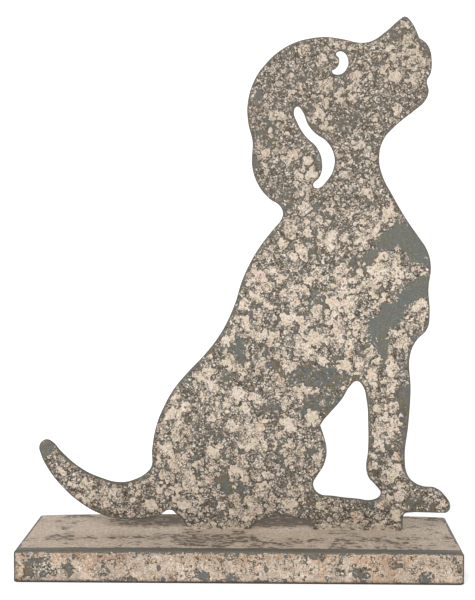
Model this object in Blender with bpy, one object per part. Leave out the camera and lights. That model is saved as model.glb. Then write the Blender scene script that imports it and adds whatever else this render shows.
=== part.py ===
"""Sheet-metal silhouette of a sitting puppy that looks up, standing on a folded metal tray.

The puppy is one flat plate, cut to its outline, with a crescent eye, a slot that draws the ear and a gap between
its legs. Two tabs under its feet drop through slots in the tray. The tray is one sheet with four flaps folded
down round it, open below. Metres, +Z up, +X towards the puppy's nose, origin under the tray's middle.
"""

import math

import bmesh
import bpy

# Puppy plate
PUPPY_HEIGHT = 0.2876
PLATE_THICKNESS = 0.0020
PLATE_SETBACK = 0.0070
OUTLINE_STEPS = 4

# Tray
TAIL_MARGIN = 0.0061
PAW_MARGIN = 0.0017
TRAY_DEPTH = 0.090
TRAY_HEIGHT = 0.0172
TRAY_SHEET = 0.0012
FOLD_INSIDE_RADIUS = 0.0005
SEAM_RADIUS = 0.0009
SEAM_INSIDE_RADIUS = 0.00015
FLAP_CORNER_RADIUS = 0.0020
FOLD_STEPS = 5
SEAM_STEPS = 3
FLAP_CORNER_STEPS = 6

# How the plate sits in the tray
SEAT_GAP = 0.0003
SLOT_CLEARANCE = 0.0004
CUTTER_REACH = 0.002

# The drawing that the plate is cut to: points (x, z) in millimetres on a puppy DRAWN_HEIGHT tall, z from its foot
# line. Each loop is one smooth curve through its points, but for the sharp corners named under CORNERS.
DRAWN_HEIGHT = 287.6

TAIL_UNDER = [(-32.2, 5.5), (-36.3, 9.1), (-39.8, 11.5), (-46.3, 8.2), (-57.5, 6), (-67, 6), (-77.8, 8.3),
              (-89.8, 14.6), (-101, 24.4), (-109, 34.7), (-113.2, 43.4)]
TAIL_TIP = [(-113.9, 47.5), (-112.2, 50.4), (-109.4, 51.3), (-106.3, 49.8)]
TAIL_TOP = [(-101.9, 44.8), (-90.5, 35), (-79.6, 29.7), (-68.3, 27), (-60.3, 28.5), (-53, 32.7)]
RUMP = [(-50.3, 36.5), (-50, 45), (-47.3, 60), (-43.3, 70), (-37.7, 80)]
BACK = [(-29.6, 89.8), (-19.8, 100.2), (-12.1, 110.2), (-6.7, 120), (-2.6, 130), (0.4, 140), (4.7, 150),
        (10.4, 159.8), (18, 169.8)]
NAPE = [(22.6, 175.4), (23.7, 179.1), (21.8, 183.4)]
EAR_EDGE = [(16.2, 187.2), (10, 194.8), (6.7, 204), (6.4, 211), (6.8, 218), (4.2, 230), (4, 240)]
CROWN = [(7.8, 253), (13.5, 261.3), (21, 268.4), (30.4, 273.6), (39.1, 275.8), (47.2, 276.5), (56.5, 275.3)]
MUZZLE = [(66.6, 273.3), (72.4, 274.2), (80.5, 279.5), (88, 286)]
NOSE = [(90.8, 287.6), (93.8, 285.4), (96.4, 281.4), (98.8, 275.7)]
LIPS = [(101.2, 274.3), (104, 271), (105.8, 263), (105.1, 256.2), (103.2, 252.3), (104.2, 246.5), (102.3, 241.4)]
THROAT = [(95.8, 235.5), (90, 231), (84.9, 226.5), (79.5, 220), (77.1, 210), (79, 200)]
CHEST = [(84.1, 190), (93, 175), (100, 165), (103.9, 159), (106.2, 150), (105, 137), (105.8, 123), (104.5, 114.7)]
FORELEG = [(98.4, 107.8), (95.1, 100), (95.5, 80), (94.3, 60), (92.5, 42), (94.2, 32)]
PAW = [(97.6, 28), (103.1, 25.5), (109.5, 24.8), (115.5, 20), (118.3, 14), (116.4, 10.9), (113.3, 10.6),
       (105, 10.7), (96.5, 10.7), (92.5, 9.8), (91.8, 8)]
BELLY_ARCH = [(40.8, 3.8), (37.5, 5.8), (32, 6.5), (27.3, 7.9), (21, 8.5), (15.5, 7.2), (11.8, 6), (7.2, 3.2)]
FRONT_FOOT = [(91.7, 0), (42, 0)]
HIND_FOOT = [(5, 0), (-30.5, 0)]
OUTLINE_FROM_TAIL = TAIL_UNDER + TAIL_TIP + TAIL_TOP + RUMP + BACK + NAPE + EAR_EDGE + CROWN + MUZZLE + NOSE + LIPS
OUTLINE_TO_PAW = THROAT + CHEST + FORELEG + PAW

LEG_GAP = [(65.2, 85.1), (61.7, 82.4), (57, 74.9), (50, 66.7), (46.8, 63), (44.9, 60), (46.7, 54.8), (48.6, 46),
           (47.2, 38), (45.7, 35), (43.3, 31.4), (41.1, 26.5), (44.2, 21.2), (52, 19.8), (64.4, 18.4),
           (76.1, 18.2), (79.1, 21.3), (76.3, 26), (72.2, 30.7), (70.9, 36), (71.8, 45), (71.9, 60), (70.8, 75),
           (68.6, 82.4)]
EAR_SLOT = [(31.6, 238.3), (34, 236.3), (37.9, 227.8), (42.2, 223), (47.4, 219.5), (51.6, 212.9), (52.2, 205.7),
            (48.2, 197.3), (42.5, 193.1), (40.5, 194.5), (44.1, 199.3), (45.5, 206.3), (42.7, 215.3),
            (36.2, 221.9), (31.8, 229), (29.8, 236)]
EYE = [(54.5, 268.6), (57.4, 267.9), (59.7, 263.8), (59, 259.5), (54.7, 255.9), (50.7, 257.6), (52.5, 259),
       (54.4, 261.4), (54.5, 264.9), (52.9, 267.1)]
HOLES = (LEG_GAP, EAR_SLOT, EYE)
CORNERS = [(98.8, 275.7), (44.9, 60), (91.7, 0), (42, 0), (5, 0), (-30.5, 0)]

# Each tab, under one foot: from the end nearer the tail to the end nearer the nose
HIND_TAB = (-24, -4)
FRONT_TAB = (54, 80)
TABS = (HIND_TAB, FRONT_TAB)

PATCHED_ZINC = (0.30, 0.26, 0.20, 1)
LIMEWASH = (0.52, 0.43, 0.34, 1)


def drawn(value):
    """A length of the drawing at the puppy's real size."""
    return value / DRAWN_HEIGHT * PUPPY_HEIGHT


def at_size(points):
    return [(drawn(x), drawn(z)) for x, z in points]


# The tray reaches a margin past the tail's tip and the paw's tip
TAIL_END = drawn(min(x for x, z in TAIL_TIP)) - TAIL_MARGIN
PAW_END = drawn(max(x for x, z in PAW)) + PAW_MARGIN
TRAY_LENGTH = PAW_END - TAIL_END
DRAWING_ORIGIN_X = -(TAIL_END + PAW_END) / 2
FOLD_RADIUS = FOLD_INSIDE_RADIUS + TRAY_SHEET


def clear_scene():
    for obj in list(bpy.data.objects):
        bpy.data.objects.remove(obj)


def metal(name, colour, roughness, metallic):
    material = bpy.data.materials.new(name)
    material.use_nodes = True
    shader = material.node_tree.nodes["Principled BSDF"]
    shader.inputs["Base Color"].default_value = colour
    shader.inputs["Roughness"].default_value = roughness
    shader.inputs["Metallic"].default_value = metallic
    return material


def link(name, data):
    obj = bpy.data.objects.new(name, data)
    bpy.context.scene.collection.objects.link(obj)
    return obj


def mesh_object(name, mesh):
    """An object from a closed bmesh, with its faces turned outwards."""
    bmesh.ops.recalc_face_normals(mesh, faces=mesh.faces)
    data = bpy.data.meshes.new(name)
    mesh.to_mesh(data)
    mesh.free()
    return link(name, data)


def foot_with_tab(foot, tab):
    """The foot's two corners with a tab between them, from the nose's side to the tail's."""
    nose_corner, tail_corner = at_size(foot)
    tail_side, nose_side = drawn(tab[0]), drawn(tab[1])
    depth = TRAY_SHEET + SEAT_GAP
    dropped = [(nose_side, 0), (nose_side, -depth), (tail_side, -depth), (tail_side, 0)]
    return [nose_corner] + dropped + [tail_corner]


def add_loop(curve, points, corners):
    """A closed smooth loop through the points, sharp at those in corners."""
    spline = curve.splines.new("BEZIER")
    spline.bezier_points.add(len(points) - 1)
    spline.use_cyclic_u = True
    spline.resolution_u = OUTLINE_STEPS
    for knot, point in zip(spline.bezier_points, points):
        knot.co = (*point, 0)
        handle = "VECTOR" if point in corners else "AUTO"
        knot.handle_left_type = handle
        knot.handle_right_type = handle


def make_puppy():
    """The plate, drawn flat in its own XY plane and stood up on the tray."""
    front_foot = foot_with_tab(FRONT_FOOT, FRONT_TAB)
    hind_foot = foot_with_tab(HIND_FOOT, HIND_TAB)
    corners = set(at_size(CORNERS) + front_foot + hind_foot)
    outline = at_size(OUTLINE_FROM_TAIL + OUTLINE_TO_PAW) + front_foot + at_size(BELLY_ARCH) + hind_foot

    curve = bpy.data.curves.new("puppy_plate", "CURVE")
    curve.dimensions = "2D"
    curve.fill_mode = "BOTH"
    curve.extrude = PLATE_THICKNESS / 2
    add_loop(curve, outline, corners)
    for hole in HOLES:
        add_loop(curve, at_size(hole), corners)

    plate = link("puppy_plate", curve)
    plate.rotation_euler = (math.pi / 2, 0, 0)
    plate.location = (DRAWING_ORIGIN_X, PLATE_SETBACK, TRAY_HEIGHT + SEAT_GAP)
    plate.data.materials.append(metal("patched zinc", PATCHED_ZINC, 0.7, 0.3))


def flap_lift(x, y):
    """How far a flap's lower edge rises at a place on the plan, where its corner is rounded off."""
    from_flap_end = max(TRAY_LENGTH / 2 - abs(x), TRAY_DEPTH / 2 - abs(y))
    short = max(FLAP_CORNER_RADIUS - from_flap_end, 0)
    return FLAP_CORNER_RADIUS - math.sqrt(FLAP_CORNER_RADIUS**2 - short**2)


def plan_ring(inset):
    """Points (x, y) round the tray's plan, inset from its edge, closer together near the corners."""
    radius = max(SEAM_RADIUS - inset, SEAM_INSIDE_RADIUS)
    centre_x = TRAY_LENGTH / 2 - inset - radius
    centre_y = TRAY_DEPTH / 2 - inset - radius
    near_corner = FLAP_CORNER_RADIUS
    ring = []
    for quarter, (side_x, side_y) in enumerate(((1, 1), (-1, 1), (-1, -1), (1, -1))):
        start, end = math.pi / 2 * quarter, math.pi / 2 * (quarter + 1)
        turns = [start + (end - start) * step / SEAM_STEPS for step in range(SEAM_STEPS + 1)]
        arc = [
            (side_x * centre_x + radius * math.cos(turn), side_y * centre_y + radius * math.sin(turn))
            for turn in turns
        ]
        runs = [near_corner * step / FLAP_CORNER_STEPS for step in range(1, FLAP_CORNER_STEPS + 1)]
        before = [(arc[0][0] + run * math.sin(start), arc[0][1] - run * math.cos(start)) for run in runs]
        after = [(arc[-1][0] - run * math.sin(end), arc[-1][1] + run * math.cos(end)) for run in runs]
        ring += before[::-1] + arc + after
    return ring


def add_ring(mesh, inset, height=None):
    """A ring of vertices at a height, or along the flaps' lower edge."""
    return [mesh.verts.new((x, y, flap_lift(x, y) if height is None else height)) for x, y in plan_ring(inset)]


def join_rings(mesh, lower, upper):
    for i in range(len(lower)):
        after = (i + 1) % len(lower)
        mesh.faces.new((lower[i], lower[after], upper[after], upper[i]))


def fold_places(radius):
    """(inset, height) round the fold, from the flap to the top, on the skin with this radius."""
    centre_height = TRAY_HEIGHT - FOLD_RADIUS
    for step in range(FOLD_STEPS + 1):
        turn = math.pi / 2 * step / FOLD_STEPS
        yield FOLD_RADIUS - radius * math.cos(turn), centre_height + radius * math.sin(turn)


def folded_sheet():
    """The tray's outer skin, its inner skin one sheet inside, and the flaps' lower edge between them."""
    mesh = bmesh.new()
    outer = [add_ring(mesh, 0)] + [add_ring(mesh, *place) for place in fold_places(FOLD_RADIUS)]
    inner = [add_ring(mesh, TRAY_SHEET)] + [add_ring(mesh, *place) for place in fold_places(FOLD_INSIDE_RADIUS)]
    for skin in (outer, inner):
        for lower, upper in zip(skin, skin[1:]):
            join_rings(mesh, lower, upper)
        mesh.faces.new(skin[-1])
    join_rings(mesh, inner[0], outer[0])
    return mesh


def tab_slots():
    """A cutter with a block for each tab, through the tray's top, with clearance all round the tab."""
    mesh = bmesh.new()
    half_width = PLATE_THICKNESS / 2 + SLOT_CLEARANCE
    low = TRAY_HEIGHT - TRAY_SHEET - CUTTER_REACH
    high = TRAY_HEIGHT + CUTTER_REACH
    for tail_side, nose_side in TABS:
        x0 = DRAWING_ORIGIN_X + drawn(tail_side) - SLOT_CLEARANCE
        x1 = DRAWING_ORIGIN_X + drawn(nose_side) + SLOT_CLEARANCE
        y0, y1 = PLATE_SETBACK - half_width, PLATE_SETBACK + half_width
        plan = ((x0, y0), (x1, y0), (x1, y1), (x0, y1))
        bottom = [mesh.verts.new((x, y, low)) for x, y in plan]
        top = [mesh.verts.new((x, y, high)) for x, y in plan]
        join_rings(mesh, bottom, top)
        mesh.faces.new(bottom)
        mesh.faces.new(top)
    return mesh


def make_tray():
    tray = mesh_object("base_tray", folded_sheet())
    tray.data.materials.append(metal("limewashed zinc", LIMEWASH, 0.75, 0.2))
    cutter = mesh_object("tab_slots", tab_slots())
    cutter.hide_render = True
    cutter.display_type = "WIRE"
    cut = tray.modifiers.new("tab slots", "BOOLEAN")
    cut.operation = "DIFFERENCE"
    cut.solver = "EXACT"
    cut.object = cutter


clear_scene()
make_puppy()
make_tray()
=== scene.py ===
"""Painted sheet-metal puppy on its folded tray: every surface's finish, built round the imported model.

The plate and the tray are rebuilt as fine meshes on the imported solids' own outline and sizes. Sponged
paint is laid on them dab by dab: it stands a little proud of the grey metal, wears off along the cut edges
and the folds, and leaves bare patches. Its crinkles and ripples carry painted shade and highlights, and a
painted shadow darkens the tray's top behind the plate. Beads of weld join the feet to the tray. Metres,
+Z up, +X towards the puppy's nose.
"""

import itertools
import logging
import math
from dataclasses import dataclass, field
from enum import Enum

import bpy
import numpy as np
from bpy.types import Material, Mesh, Node, NodeSocket, Object
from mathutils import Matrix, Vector
from mathutils.geometry import delaunay_2d_cdt
from mathutils.kdtree import KDTree


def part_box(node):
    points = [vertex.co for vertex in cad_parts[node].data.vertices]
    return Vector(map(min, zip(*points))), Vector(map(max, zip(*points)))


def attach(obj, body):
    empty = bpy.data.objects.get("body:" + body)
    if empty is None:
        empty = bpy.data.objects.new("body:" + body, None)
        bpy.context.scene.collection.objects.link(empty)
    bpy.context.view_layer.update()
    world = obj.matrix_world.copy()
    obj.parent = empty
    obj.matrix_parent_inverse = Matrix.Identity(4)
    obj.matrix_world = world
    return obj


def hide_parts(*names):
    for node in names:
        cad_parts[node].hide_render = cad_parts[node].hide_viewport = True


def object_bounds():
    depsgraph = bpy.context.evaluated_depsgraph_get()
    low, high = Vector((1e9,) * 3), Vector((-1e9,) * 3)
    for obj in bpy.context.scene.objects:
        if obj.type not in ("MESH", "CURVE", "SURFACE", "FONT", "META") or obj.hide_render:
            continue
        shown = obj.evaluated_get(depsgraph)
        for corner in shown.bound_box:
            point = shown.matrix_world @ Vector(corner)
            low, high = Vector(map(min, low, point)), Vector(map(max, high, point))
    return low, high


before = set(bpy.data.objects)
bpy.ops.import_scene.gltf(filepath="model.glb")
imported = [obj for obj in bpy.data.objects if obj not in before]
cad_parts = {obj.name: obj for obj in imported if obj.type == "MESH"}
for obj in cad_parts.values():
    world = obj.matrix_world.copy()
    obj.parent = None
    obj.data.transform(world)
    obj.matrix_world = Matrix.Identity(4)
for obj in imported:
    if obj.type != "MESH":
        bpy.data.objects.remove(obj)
CAD_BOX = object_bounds()

LOG = logging.getLogger("puppy")
MM = 0.001
# How far off a face's level a vertex may lie and still count as on it.
ON_FACE = 0.01 * MM
# How far a mesh point inside a face stays from its border, as a share of the mesh's spacing.
CLEAR_OF_BORDER = 0.6
# The least cosine between the normal in a dab's middle and that of a vertex which it covers.
SAME_FACE = 0.3
# The share of the bake map's width that a sheet fills.
BAKE_SPAN = 0.98
# The farthest distance from an edge that the finish knows of, in millimetres.
EDGE_REACH = 12.0
Colour = tuple[float, float, float, float]
Socket = NodeSocket | float | Colour


class Side(Enum):
    """The two faces of a sheet of metal."""

    NEAR = "the face that is drawn"
    FAR = "the face behind it"


class Plane(Enum):
    """The planes that flat sheets lie in, by the numbers of their two axes and of the axis across them."""

    UPRIGHT = (0, 2, 1)
    LEVEL = (0, 1, 2)


def screen(red: int, green: int, blue: int) -> Colour:
    """A screen colour, 0 to 255 a channel, as the linear colour that a shader takes."""
    return tuple((channel / 255) ** 2.2 for channel in (red, green, blue)) + (1.0,)


def smooth_step(value: np.ndarray, low: float, high: float) -> np.ndarray:
    """0 below low, 1 above high, and a smooth rise between them."""
    share = np.clip((value - low) / (high - low), 0, 1)
    return share * share * (3 - 2 * share)


@dataclass(frozen=True)
class Mottle:
    """A smooth random field in space, the same on every run.

    Attributes:
        seed: Which field this is.
        grain: The distance over which it changes, in metres.
        cells: How many random values it has along each axis before it repeats.
    """

    seed: int
    grain: float
    cells: int = 32

    def at(self, points: np.ndarray) -> np.ndarray:
        """Reads the field at each place.

        Args:
            points: The places, as rows.

        Returns:
            The field's value, 0 to 1, for each row.
        """
        values = np.random.default_rng(self.seed).random((self.cells,) * 3)
        place = points / self.grain
        low = np.floor(place).astype(int)
        part = place - low
        part = part * part * (3 - 2 * part)
        total = np.zeros(len(points))
        for corner in itertools.product((0, 1), repeat=3):
            cell = (low + corner) % self.cells
            weight = np.prod(np.where(corner, part, 1 - part), axis=1)
            total += weight * values[cell[:, 0], cell[:, 1], cell[:, 2]]
        return total


@dataclass(frozen=True)
class Spot:
    """An oval place on an upright face.

    Attributes:
        x: Its middle along X.
        z: Its middle along Z.
        half_width: Half its length along its own long axis.
        half_height: Half its width across that axis.
        tilt: How far its long axis is turned up from X, in degrees.
    """

    x: float
    z: float
    half_width: float
    half_height: float
    tilt: float = 0.0

    def depth(self, x: np.ndarray, z: np.ndarray) -> np.ndarray:
        """Tells how deep in the oval each place lies.

        Args:
            x: Where each place is along X.
            z: Where it is along Z.

        Returns:
            1 in the oval's middle, 0 on its edge and below 0 outside.
        """
        turn = math.radians(self.tilt)
        dx, dz = x - self.x, z - self.z
        along = dx * math.cos(turn) + dz * math.sin(turn)
        across = dz * math.cos(turn) - dx * math.sin(turn)
        return 1 - np.hypot(along / self.half_width, across / self.half_height)


def deepest(spots: tuple[Spot, ...], x: np.ndarray, z: np.ndarray) -> np.ndarray:
    """The depth of each place in whichever spot holds it most."""
    return np.max([spot.depth(x, z) for spot in spots], axis=0)


def vertex_rows(mesh: Mesh) -> np.ndarray:
    """Reads where a mesh's vertices are.

    Args:
        mesh: The mesh.

    Returns:
        A row for each vertex.
    """
    rows = np.empty(len(mesh.vertices) * 3)
    mesh.vertices.foreach_get("co", rows)
    return rows.reshape(-1, 3)


def move_vertices(mesh: Mesh, places: np.ndarray) -> None:
    """Moves a mesh's vertices to new places.

    Args:
        mesh: The mesh.
        places: A row for each vertex.
    """
    mesh.vertices.foreach_set("co", places.ravel())
    mesh.update()


def vertex_normals(mesh: Mesh) -> np.ndarray:
    """Reads which way a mesh faces at its vertices.

    Args:
        mesh: The mesh.

    Returns:
        The normal at each vertex.
    """
    rows = np.empty(len(mesh.vertices) * 3, np.float32)
    mesh.vertex_normals.foreach_get("vector", rows)
    return rows.reshape(-1, 3).astype(float)


def vertex_areas(mesh: Mesh) -> np.ndarray:
    """Shares a mesh's surface out among its vertices.

    Args:
        mesh: The mesh.

    Returns:
        The area that belongs to each vertex.
    """
    areas = np.zeros(len(mesh.vertices))
    for polygon in mesh.polygons:
        for vertex in polygon.vertices:
            areas[vertex] += polygon.area / polygon.loop_total
    return areas


def store(mesh: Mesh, **numbers: np.ndarray) -> None:
    """Keeps numbers at a mesh's vertices under the names that the materials read.

    Args:
        mesh: The mesh.
        **numbers: The numbers of each name, one for each vertex.
    """
    for name, values in numbers.items():
        layer = mesh.attributes.new(name, "FLOAT", "POINT")
        layer.data.foreach_set("value", np.asarray(values, np.float32))


def placed(name: str, mesh: Mesh) -> Object:
    """Puts a mesh in the scene as an object.

    Args:
        name: The object's name.
        mesh: The mesh.

    Returns:
        The object.
    """
    piece = bpy.data.objects.new(name, mesh)
    bpy.context.scene.collection.objects.link(piece)
    return piece


def nearest(marks: np.ndarray, places: np.ndarray) -> np.ndarray:
    """Measures how far flat places are from the nearest of some marks.

    Args:
        marks: The marks, as rows of two numbers.
        places: The places, in the same way.

    Returns:
        The distance for each place.
    """
    tree = KDTree(len(marks))
    for number, (across, up) in enumerate(marks.tolist()):
        tree.insert((across, up, 0), number)
    tree.balance()
    return np.array([tree.find((across, up, 0))[2] for across, up in places.tolist()])


def turned_on(loop: np.ndarray) -> np.ndarray:
    """A closed loop's points, each moved on to the next one's place in the list."""
    return np.roll(loop, -1, axis=0)


def signed_area(loop: np.ndarray) -> float:
    """The area in a closed loop, below 0 where the loop runs round a hole."""
    after = turned_on(loop)
    return float((loop[:, 0] * after[:, 1] - loop[:, 1] * after[:, 0]).sum() / 2)


def holds(loop: np.ndarray, place: np.ndarray) -> bool:
    """Tells whether a flat place lies in a closed loop.

    Args:
        loop: The loop's points.
        place: The place.

    Returns:
        Whether it lies inside.
    """
    after = turned_on(loop)
    crossing = (loop[:, 1] > place[1]) != (after[:, 1] > place[1])
    start, end = loop[crossing], after[crossing]
    at = start[:, 0] + (place[1] - start[:, 1]) / (end[:, 1] - start[:, 1]) * (end[:, 0] - start[:, 0])
    return bool((at > place[0]).sum() % 2)


def grid_inside(borders: list[np.ndarray], spacing: float) -> np.ndarray:
    """Lays a triangular grid in the metal, clear of its borders.

    Args:
        borders: The closed loops round the metal.
        spacing: How far apart the grid's points are.

    Returns:
        The grid's points, as rows.
    """
    starts = np.vstack(borders)
    ends = np.vstack([turned_on(border) for border in borders])
    (left, low), (right, high) = starts.min(axis=0), starts.max(axis=0)
    kept = []
    for number, up in enumerate(np.arange(low + spacing / 3, high, spacing * math.sin(math.pi / 3))):
        cut = (starts[:, 1] > up) != (ends[:, 1] > up)
        a, b = starts[cut], ends[cut]
        crossings = np.sort(a[:, 0] + (up - a[:, 1]) / (b[:, 1] - a[:, 1]) * (b[:, 0] - a[:, 0]))
        row = np.arange(left + (number % 2) * spacing / 2, right, spacing)
        row = row[np.searchsorted(crossings, row) % 2 == 1]
        kept.append(np.column_stack([row, np.full(len(row), up)]))
    grid = np.vstack(kept)
    return grid[nearest(starts, grid) > CLEAR_OF_BORDER * spacing]


def outline_loops(node: str, plane: Plane, level: float) -> list[np.ndarray]:
    """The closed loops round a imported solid's flat face, each with the metal on its left.

    Args:
        node: The solid's name.
        plane: The plane that the face is parallel to.
        level: Where the face lies on the axis across that plane.

    Returns:
        Each loop as rows in the plane's own two axes.
    """
    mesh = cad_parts[node].data
    right, up, across = plane.value
    places = vertex_rows(mesh)
    on_face = np.abs(places[:, across] - level) < ON_FACE
    numbers: dict[tuple[float, float], int] = {}
    corners_at = places[:, (right, up)].round(6).tolist()
    welded = [numbers.setdefault(tuple(corner), len(numbers)) for corner in corners_at]
    edges: set[tuple[int, int]] = set()
    for polygon in mesh.polygons:
        corners = list(polygon.vertices)
        if on_face[corners].all():
            edges.update((welded[a], welded[b]) for a, b in zip(corners, corners[1:] + corners[:1]))
    after = dict(sorted((a, b) for a, b in edges if (b, a) not in edges))
    known = np.array(list(numbers))
    loops = []
    while after:
        start = next(iter(after))
        loop = [start]
        while (following := after.pop(loop[-1])) != start:
            loop.append(following)
        loops.append(known[loop])
    return loops


def divide(line: np.ndarray, spacing: float) -> np.ndarray:
    """Divides a line evenly.

    Args:
        line: The line's points.
        spacing: About how far apart the new points are.

    Returns:
        The new points, without the line's last one.
    """
    run = np.concatenate([[0], np.cumsum(np.linalg.norm(np.diff(line, axis=0), axis=1))])
    count = max(1, round(run[-1] / spacing))
    marks = np.linspace(0, run[-1], count + 1)[:-1]
    return np.stack([np.interp(marks, run, line[:, axis]) for axis in (0, 1)], axis=1)


@dataclass
class SheetMesh:
    """A sheet of metal under construction, with a place on the flat bake map for each corner of each face.

    Attributes:
        plane: The plane that the sheet lies in.
        far_shift: How far the far side's part of the bake map is moved from the near side's.
        points: The vertices.
        faces: The numbers of each face's vertices.
        flat: Where each face's corners lie on the bake map.
    """

    plane: Plane
    far_shift: tuple[float, float]
    points: list[tuple[float, float, float]] = field(default_factory=list)
    faces: list[tuple[int, ...]] = field(default_factory=list)
    flat: list[tuple[tuple[float, float], ...]] = field(default_factory=list)

    def add_points(self, flat: np.ndarray, level: np.ndarray | float) -> list[int]:
        """Adds a vertex for each flat place.

        Args:
            flat: The places in the sheet's plane.
            level: Where they lie on the axis across it.

        Returns:
            The new vertices' numbers.
        """
        right, up, across = self.plane.value
        rows = np.empty((len(flat), 3))
        rows[:, right], rows[:, up], rows[:, across] = flat[:, 0], flat[:, 1], level
        first = len(self.points)
        self.points.extend(map(tuple, rows.tolist()))
        return list(range(first, len(self.points)))

    def add_face(self, corners: tuple[int, ...], flat: np.ndarray, side: Side) -> None:
        """Adds a face.

        Args:
            corners: The numbers of its vertices.
            flat: Where they lie on that side's part of the bake map.
            side: Which side of the sheet it is on.
        """
        self.faces.append(corners)
        shift = self.far_shift if side is Side.FAR else (0, 0)
        self.flat.append(tuple(map(tuple, (flat + shift).tolist())))

    def add_cut_edge(
        self, loop: np.ndarray, near_level: float, far_level: float, radius: float, steps: int
    ) -> list[list[int]]:
        """Adds the cut edge along a loop, rounded at both faces.

        Args:
            loop: The cut's outline, with the metal on its left.
            near_level: Where the near face lies across the plane.
            far_level: Where the far face lies.
            radius: How far the edge is rounded.
            steps: The faces round each rounded edge.

        Returns:
            Rings of vertices from the near face to the far one.
        """
        ahead = turned_on(loop) - loop
        ahead /= np.linalg.norm(ahead, axis=1)[:, None]
        behind = np.roll(ahead, 1, axis=0)
        inward = np.stack([-(ahead + behind)[:, 1], (ahead + behind)[:, 0]], axis=1)
        inward /= np.maximum((inward**2).sum(axis=1) / 2, 0.5)[:, None]
        turns = [math.pi / 2 * step / steps for step in range(steps + 1)]
        rounded = [(radius * (1 - math.sin(turn)), radius * (1 - math.cos(turn))) for turn in turns]
        thickness = abs(far_level - near_level)
        onward = math.copysign(1, far_level - near_level)
        back = [(inset, thickness - depth) for inset, depth in reversed(rounded)]
        profile = rounded + [(0, thickness / 2)] + back
        rings = [
            self.add_points(loop + inward * inset, near_level + onward * depth) for inset, depth in profile
        ]
        for (near, near_at), (far, far_at) in itertools.pairwise(zip(rings, profile)):
            side = Side.NEAR if far_at[1] <= thickness / 2 + 1e-9 else Side.FAR
            unrolled = [
                loop + inward * (inset - (depth if side is Side.NEAR else thickness - depth))
                for inset, depth in (near_at, far_at)
            ]
            self.bridge(near, far, unrolled[0], unrolled[1], side)
        return rings

    def bridge(
        self, near: list[int], far: list[int], near_flat: np.ndarray, far_flat: np.ndarray, side: Side
    ) -> None:
        """Joins two closed rings of as many vertices with a band of quads.

        Args:
            near: The first ring's vertices.
            far: The second ring's vertices.
            near_flat: Where the first ring lies on the bake map.
            far_flat: Where the second ring lies on it.
            side: Which side of the sheet the band is on.
        """
        for i in range(len(near)):
            j = (i + 1) % len(near)
            flat = np.array([near_flat[i], far_flat[i], far_flat[j], near_flat[j]])
            self.add_face((near[i], far[i], far[j], near[j]), flat, side)

    def fill(self, borders: list[list[int]], spacing: float, side: Side) -> None:
        """Fills one flat face, inside its first border and round the others, with even triangles.

        Args:
            borders: The vertices of each loop on this face.
            spacing: The triangles' size.
            side: Which side of the sheet it is.
        """
        right, up, across = self.plane.value
        level = self.points[borders[0][0]][across]
        corners = [(point[right], point[up]) for point in self.points]
        edges = [np.array([corners[i] for i in border]) for border in borders]
        inner = grid_inside(edges, spacing)
        numbers = [number for border in borders for number in border] + self.add_points(inner, level)
        places = np.vstack(edges + [inner])
        constraints, first = [], 0
        for border in borders:
            constraints += [(first + i, first + (i + 1) % len(border)) for i in range(len(border))]
            first += len(border)
        in_mm = [Vector(row) for row in (places / MM).tolist()]
        _, _, triangles, origins, _, _ = delaunay_2d_cdt(in_mm, constraints, [], 1, 1e-7)
        source = [names[0] for names in origins]
        holes = [edge for edge in edges if signed_area(edge) < 0]
        for triangle in triangles:
            picked = [source[corner] for corner in triangle]
            if max(picked) < first and any(holds(hole, places[picked].mean(axis=0)) for hole in holes):
                continue
            if side is Side.FAR:
                picked.reverse()
            self.add_face(tuple(numbers[i] for i in picked), places[picked], side)

    def finish(self, name: str) -> Object:
        """Makes the object, smooth shaded, with its bake map.

        Args:
            name: The object's name.

        Returns:
            The object, in the scene.
        """
        mesh = bpy.data.meshes.new(name)
        mesh.from_pydata(self.points, [], self.faces)
        spread = np.array([place for face in self.flat for place in face])
        spread -= spread.min(axis=0)
        spread *= BAKE_SPAN / spread.max()
        spread += (1 - BAKE_SPAN) / 2
        layer = mesh.uv_layers.new(name="OFBake")
        layer.data.foreach_set("uv", spread.astype(np.float32).ravel())
        mesh.shade_smooth()
        mesh.update()
        return placed(name, mesh)


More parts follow.
